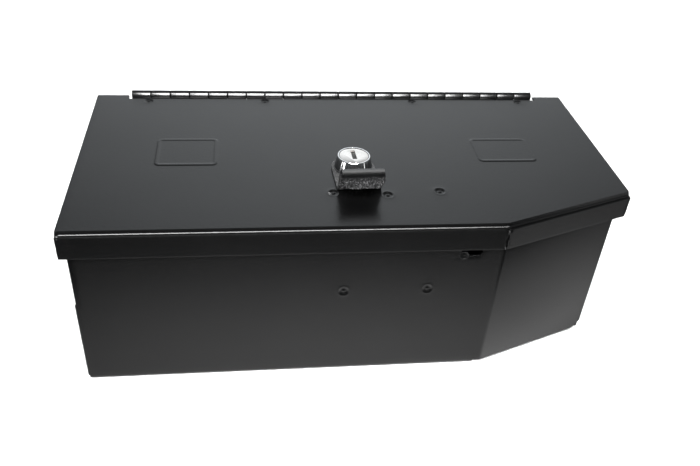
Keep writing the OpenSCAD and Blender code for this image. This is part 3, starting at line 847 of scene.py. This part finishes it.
def floor():
    m, nt, b, tc = tree("floor_paper")
    b.inputs["Roughness"].default_value = 0.85
    b.inputs["Specular IOR Level"].default_value = 0.2
    f = tex_noise(nt, tc.outputs["Object"], 3, 3, 0.5)
    nt.links.new(ramp(nt, f, [(0.3, (0.80, 0.80, 0.80)), (0.7, (0.82, 0.82, 0.82))]), b.inputs["Base Color"])
    ob = plane("floor", 6.0, 0.0, m)
    ob.visible_glossy = False
    # what the gloss of the box sees of the floor: bright close to the box, dim further off
    m = bpy.data.materials.new("floor_glow")
    m.use_nodes = True
    nt = m.node_tree
    nt.nodes.clear()
    out = nt.nodes.new("ShaderNodeOutputMaterial")
    em = nt.nodes.new("ShaderNodeEmission")
    nt.links.new(em.outputs[0], out.inputs[0])
    tc = nt.nodes.new("ShaderNodeTexCoord")
    sep = nt.nodes.new("ShaderNodeSeparateXYZ")
    nt.links.new(tc.outputs["Object"], sep.inputs[0])

    ky = math_node(nt, "MULTIPLY", math_node(nt, "ADD", sep.outputs[1], 0.30), 1 / 0.30)
    kx = math_node(nt, "MULTIPLY", math_node(nt, "ADD", sep.outputs[0], 0.50), 1.0)
    mx = nt.nodes.new("ShaderNodeMix")
    mx.data_type = "RGBA"
    mx.blend_type = "MULTIPLY"
    mx.inputs[0].default_value = 1.0
    nt.links.new(ramp(nt, ky, [((y + 0.30) / 0.30, (v,) * 3) for y, v in GLOW_Y]), mx.inputs[6])
    nt.links.new(ramp(nt, kx, [(x + 0.50, (v,) * 3) for x, v in GLOW_X]), mx.inputs[7])
    nt.links.new(mx.outputs[2], em.inputs[0])
    ob = plane("floor_glow", 5.9, 0.0003, m)
    ob.visible_camera = ob.visible_shadow = ob.visible_diffuse = ob.visible_transmission = False


GLOW_Y = [(-0.30, 0.04), (-0.24, 0.07), (-0.209, 0.13), (-0.184, 0.30), (-0.172, 0.48), (-0.156, 0.66), (-0.135, 0.82),
          (-0.115, 0.95), (-0.097, 1.02), (-0.080, 1.02), (-0.05, 0.95), (-0.01, 0.30)]
GLOW_X = [(-0.40, 0.15), (-0.25, 0.35), (-0.165, 0.58), (-0.145, 0.70), (-0.096, 0.88), (-0.04, 1.0), (0.01, 1.0),
          (0.057, 0.92), (0.10, 0.80), (0.13, 0.70), (0.165, 0.65), (0.205, 0.60), (0.242, 0.50), (0.27, 0.44),
          (0.302, 0.36), (0.40, 0.2)]
floor()


def area(name, loc, target, sx, sy, radiance, colour=(1, 1, 1), glossy=True, roll=0.0):
    L = bpy.data.lights.new(name, "AREA")
    L.shape = "RECTANGLE"
    L.size, L.size_y = sx, sy
    L.energy = radiance * math.pi * sx * sy
    L.color = colour
    ob = bpy.data.objects.new(name, L)
    ob.location = loc
    ob.rotation_mode = "QUATERNION"
    ob.rotation_quaternion = (Vector(target) - Vector(loc)).to_track_quat("-Z", "Y")
    ob.visible_glossy = glossy
    bpy.context.scene.collection.objects.link(ob)
    return ob


front_bank = area("front_bank", (-0.07, -0.66, 1.03), (-0.07, -0.05, 0.10), 0.98, 0.33, 36.0)
# a card of light that only the hinge barrel mirrors, and the pull kept out of the front bank
hinge_only = bpy.data.collections.new("hinge_only")
for ob in (leaf_a, leaf_b):
    hinge_only.objects.link(ob)
hinge_card = area("hinge_card", (-0.03, -0.90, 0.72), (-0.03, 0.077, 0.108), 0.62, 0.95, 34.0)
hinge_card.light_linking.receiver_collection = hinge_only
no_pull = bpy.data.collections.new("all_but_pull")
for ob in bpy.context.scene.objects:
    if ob.type == "MESH" and ob is not pull_ob:
        no_pull.objects.link(ob)
front_bank.light_linking.receiver_collection = no_pull
pull_only = bpy.data.collections.new("pull_only")
pull_only.objects.link(pull_ob)
pull_top = area("pull_top", (0.03, 0.60, 0.92), (0.0, -0.045, 0.12), 0.8, 0.55, 6.0)
pull_front = area("pull_front", (0.0, -0.90, 0.50), (0.0, -0.045, 0.12), 0.8, 0.8, 8.0, glossy=False)
pull_top.light_linking.receiver_collection = pull_only
pull_front.light_linking.receiver_collection = pull_only
area("room_fill", (0.0, 0.2, 2.6), (0.0, 0.0, 0.0), 3.0, 3.0, 2.4, glossy=False)
area("strip_left", (-0.95, -0.42, 0.16), (0, 0, 0.12), 0.22, 0.5, 4.0)
area("strip_left_thin", (-0.98, -0.14, 0.16), (0, 0, 0.12), 0.07, 0.5, 3.0)
area("strip_right", (0.92, -0.47, 0.16), (0, 0, 0.12), 0.05, 0.5, 2.0)

world = bpy.data.worlds.new("studio")
bpy.context.scene.world = world
world.use_nodes = True
nt = world.node_tree
nt.nodes.clear()
out = nt.nodes.new("ShaderNodeOutputWorld")
bg = nt.nodes.new("ShaderNodeBackground")
nt.links.new(bg.outputs[0], out.inputs[0])
tc = nt.nodes.new("ShaderNodeTexCoord")
sep = nt.nodes.new("ShaderNodeSeparateXYZ")
nt.links.new(tc.outputs["Generated"], sep.inputs[0])
# a broad white sweep behind the box, dimming to the sides and towards the ceiling
flat = nt.nodes.new("ShaderNodeCombineXYZ")
nt.links.new(sep.outputs[0], flat.inputs[0])
nt.links.new(sep.outputs[1], flat.inputs[1])
nrm = nt.nodes.new("ShaderNodeVectorMath")
nrm.operation = "NORMALIZE"
nt.links.new(flat.outputs[0], nrm.inputs[0])
dot = nt.nodes.new("ShaderNodeVectorMath")
dot.operation = "DOT_PRODUCT"
nt.links.new(nrm.outputs[0], dot.inputs[0])
dot.inputs[1].default_value = (math.sin(math.radians(6)), math.cos(math.radians(6)), 0)
side = ramp(nt, math_node(nt, "ADD", math_node(nt, "MULTIPLY", dot.outputs["Value"], 0.5), 0.5),
            [(0.0, (0.07,) * 3), (0.55, (0.08,) * 3), (0.75, (0.10,) * 3), (0.87, (0.20,) * 3), (0.925, (0.38,) * 3),
             (0.955, (0.58,) * 3), (0.9755, (0.80,) * 3), (0.990, (1.0,) * 3), (1.0, (1.12,) * 3)])
high = ramp(nt, math_node(nt, "ADD", math_node(nt, "MULTIPLY", sep.outputs[2], 0.5), 0.5),
            [(0.0, (1.0,) * 3), (0.5, (1.1,) * 3), (0.73, (1.1,) * 3), (0.79, (0.95,) * 3), (0.85, (0.72,) * 3), (0.91, (0.30,) * 3), (1.0, (0.08,) * 3)])
mul = nt.nodes.new("ShaderNodeMix")
mul.data_type = "RGBA"
mul.blend_type = "MULTIPLY"
mul.inputs[0].default_value = 1.0
nt.links.new(side, mul.inputs[6])
nt.links.new(high, mul.inputs[7])
tint = nt.nodes.new("ShaderNodeMix")
tint.data_type = "RGBA"
tint.blend_type = "MULTIPLY"
tint.inputs[0].default_value = 1.0
tint.inputs[7].default_value = (0.955, 1.0, 1.035, 1)
nt.links.new(mul.outputs[2], tint.inputs[6])
nt.links.new(tint.outputs[2], bg.inputs[0])
bg.inputs[1].default_value = 1.0

cam = bpy.data.cameras.new("camera")
cam_ob = bpy.data.objects.new("camera", cam)
bpy.context.scene.collection.objects.link(cam_ob)
cam.sensor_fit = "HORIZONTAL"
cam.sensor_width = 36.0
cam.lens = 753.02 / 700 * 36.0
cam.clip_start, cam.clip_end = 0.01, 50
fwd = Vector((0.13541, 0.79438, -0.59214)).normalized()
right = Vector((0.99060, -0.12035, 0.06508)).normalized()
up = right.cross(fwd).normalized()
right = fwd.cross(up).normalized()
M = Matrix((right, up, -fwd)).transposed().to_4x4()
M.translation = Vector((-0.06479, -0.39859, 0.34328))
cam_ob.matrix_world = M
bpy.context.scene.camera = cam_ob

bpy.context.scene.view_settings.view_transform = "Standard"
bpy.context.scene.view_settings.look = "None"
